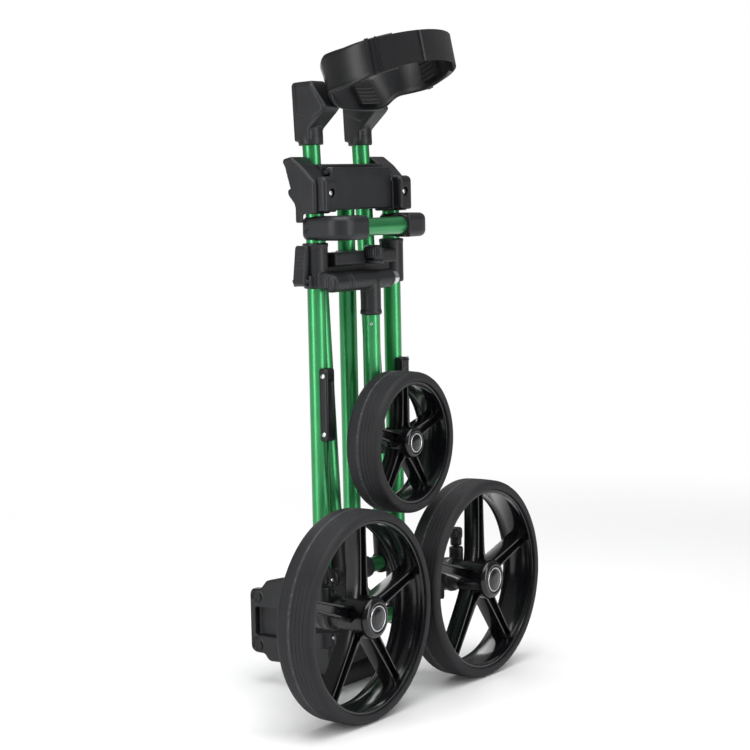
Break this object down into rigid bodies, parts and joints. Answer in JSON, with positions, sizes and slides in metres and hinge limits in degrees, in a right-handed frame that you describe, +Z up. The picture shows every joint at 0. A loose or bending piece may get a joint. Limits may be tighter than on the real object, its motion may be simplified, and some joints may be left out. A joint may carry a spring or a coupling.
{
  "type": "folding golf push trolley",
  "caption": "Folding golf push trolley folded flat: green tube frame, padded bag cradle, folding front-wheel arm and rear wheels on swivelling carriers.",
  "frame": {"origin": "middle of the bottom of the folded trolley's box, on the surface it stands on", "axes": "+Z up along the main tubes, +X to the right seen from the wheels' outer faces, -Y the side that the wheels' outer faces point to"},
  "size_m": [0.5872, 0.3114, 0.933],
  "materials": {
    "green_tube": "satin",
    "black_plastic": "fine moulded grain",
    "gloss_rim": "gloss",
    "tyre": "matt",
    "steel": "zinc plated",
    "webbing": "woven webbing",
    "rubber": "matt"
  },
  "bodies": {
    "frame": {"main_tube_left": "green_tube", "main_tube_right": "green_tube", "lower_tee_left": "black_plastic", "lower_tee_right": "black_plastic", "upper_tee_left": "black_plastic", "upper_tee_right": "black_plastic", "lower_crossbar": "green_tube", "upper_crossbar": "green_tube", "centre_tube": "green_tube", "centre_socket": "black_plastic", "bag_bracket": "black_plastic", "bracket_pin_upper": "black_plastic", "bracket_pin_lower": "black_plastic", "foot_bar": "rubber", "tube_guard_left": "black_plastic", "tube_guard_right": "black_plastic", "clamp_sleeve_left": "black_plastic", "clamp_sleeve_right": "black_plastic", "clamp_bridge": "black_plastic", "arm_pivot_pin": "steel", "handle_elbow_left": "black_plastic", "handle_elbow_right": "black_plastic", "handle_bar": "green_tube", "head_block_left": "black_plastic", "head_block_right": "black_plastic", "head_bridge": "black_plastic"},
    "bag_frame": {"bag_knuckle_left": "black_plastic", "bag_knuckle_right": "black_plastic", "bag_tube_left": "green_tube", "bag_tube_right": "green_tube", "cradle_elbow_left": "black_plastic", "cradle_elbow_right": "black_plastic", "cradle_ring": "black_plastic", "cradle_strap": "webbing", "cradle_pad_back": "rubber", "cradle_pad_left": "rubber", "cradle_pad_right": "rubber"},
    "front_arm": {"arm_tee": "black_plastic", "arm_tube": "green_tube", "arm_end": "black_plastic"},
    "front_wheel": {"front_wheel_tyre": "tyre", "front_wheel_rim": "gloss_rim", "front_wheel_cap": "gloss_rim"},
    "release_button": {"release_button": "black_plastic"},
    "cam_lever": {"cam_lever": "black_plastic"},
    "latch_paddle": {"latch_paddle": "black_plastic"},
    "carrier_left": {"wheel_carrier_left": "black_plastic", "rear_axle_left": "steel"},
    "lock_knob_left": {"lock_knob_left": "black_plastic"},
    "rear_wheel_left": {"rear_wheel_left_tyre": "tyre", "rear_wheel_left_rim": "gloss_rim", "rear_wheel_left_spokes": "gloss_rim", "rear_wheel_left_cap": "gloss_rim"},
    "carrier_right": {"wheel_carrier_right": "black_plastic", "rear_axle_right": "steel"},
    "lock_knob_right": {"lock_knob_right": "black_plastic"},
    "rear_wheel_right": {"rear_wheel_right_tyre": "tyre", "rear_wheel_right_rim": "gloss_rim", "rear_wheel_right_spokes": "gloss_rim", "rear_wheel_right_cap": "gloss_rim"}
  },
  "joints": [
    {"name": "bag_frame_fold", "type": "hinge", "parent": "frame", "child": "bag_frame", "pos_m": [0, 0.00118, 0.175], "axis": [-1, 0, 0], "range_deg": [0, 35]},
    {"name": "front_arm_fold", "type": "hinge", "parent": "frame", "child": "front_arm", "pos_m": [0, -0.02582, 0.591], "axis": [-1, 0, 0], "range_deg": [0, 95]},
    {"name": "front_wheel_spin", "type": "hinge", "parent": "front_arm", "child": "front_wheel", "pos_m": [0, -0.07482, 0.363], "axis": [0, 1, 0], "continuous": true},
    {"name": "cam_lever_swing", "type": "hinge", "parent": "frame", "child": "cam_lever", "pos_m": [-0.117, 0.00718, 0.594], "axis": [0, -1, 0], "range_deg": [0, 110]},
    {"name": "latch_press", "type": "hinge", "parent": "frame", "child": "latch_paddle", "pos_m": [0, -0.00782, 0.742], "axis": [1, 0, 0], "range_deg": [0, 10], "stiffness_Nm_per_rad": 2, "springref_deg": -5.73},
    {"name": "release_button_press", "type": "slide", "parent": "frame", "child": "release_button", "axis": [0, 0, -1], "range_m": [0, 0.003], "stiffness_N_per_m": 600, "springref_m": -0.002},
    {"name": "carrier_left_swivel", "type": "hinge", "parent": "frame", "child": "carrier_left", "pos_m": [-0.092, 0.00118, 0.134], "axis": [0, 0, -1], "range_deg": [0, 90]},
    {"name": "rear_wheel_left_spin", "type": "hinge", "parent": "carrier_left", "child": "rear_wheel_left", "pos_m": [-0.1486, -0.09682, 0.145], "axis": [0, 1, 0], "continuous": true},
    {"name": "lock_knob_left_pull", "type": "slide", "parent": "carrier_left", "child": "lock_knob_left", "axis": [0, 0, 1], "range_m": [0, 0.006], "stiffness_N_per_m": 500, "springref_m": -0.004},
    {"name": "carrier_right_swivel", "type": "hinge", "parent": "frame", "child": "carrier_right", "pos_m": [0.092, 0.00118, 0.134], "axis": [0, 0, 1], "range_deg": [0, 90]},
    {"name": "rear_wheel_right_spin", "type": "hinge", "parent": "carrier_right", "child": "rear_wheel_right", "pos_m": [0.1486, -0.09682, 0.145], "axis": [0, 1, 0], "continuous": true},
    {"name": "lock_knob_right_pull", "type": "slide", "parent": "carrier_right", "child": "lock_knob_right", "axis": [0, 0, 1], "range_m": [0, 0.006], "stiffness_N_per_m": 500, "springref_m": -0.004}
  ]
}
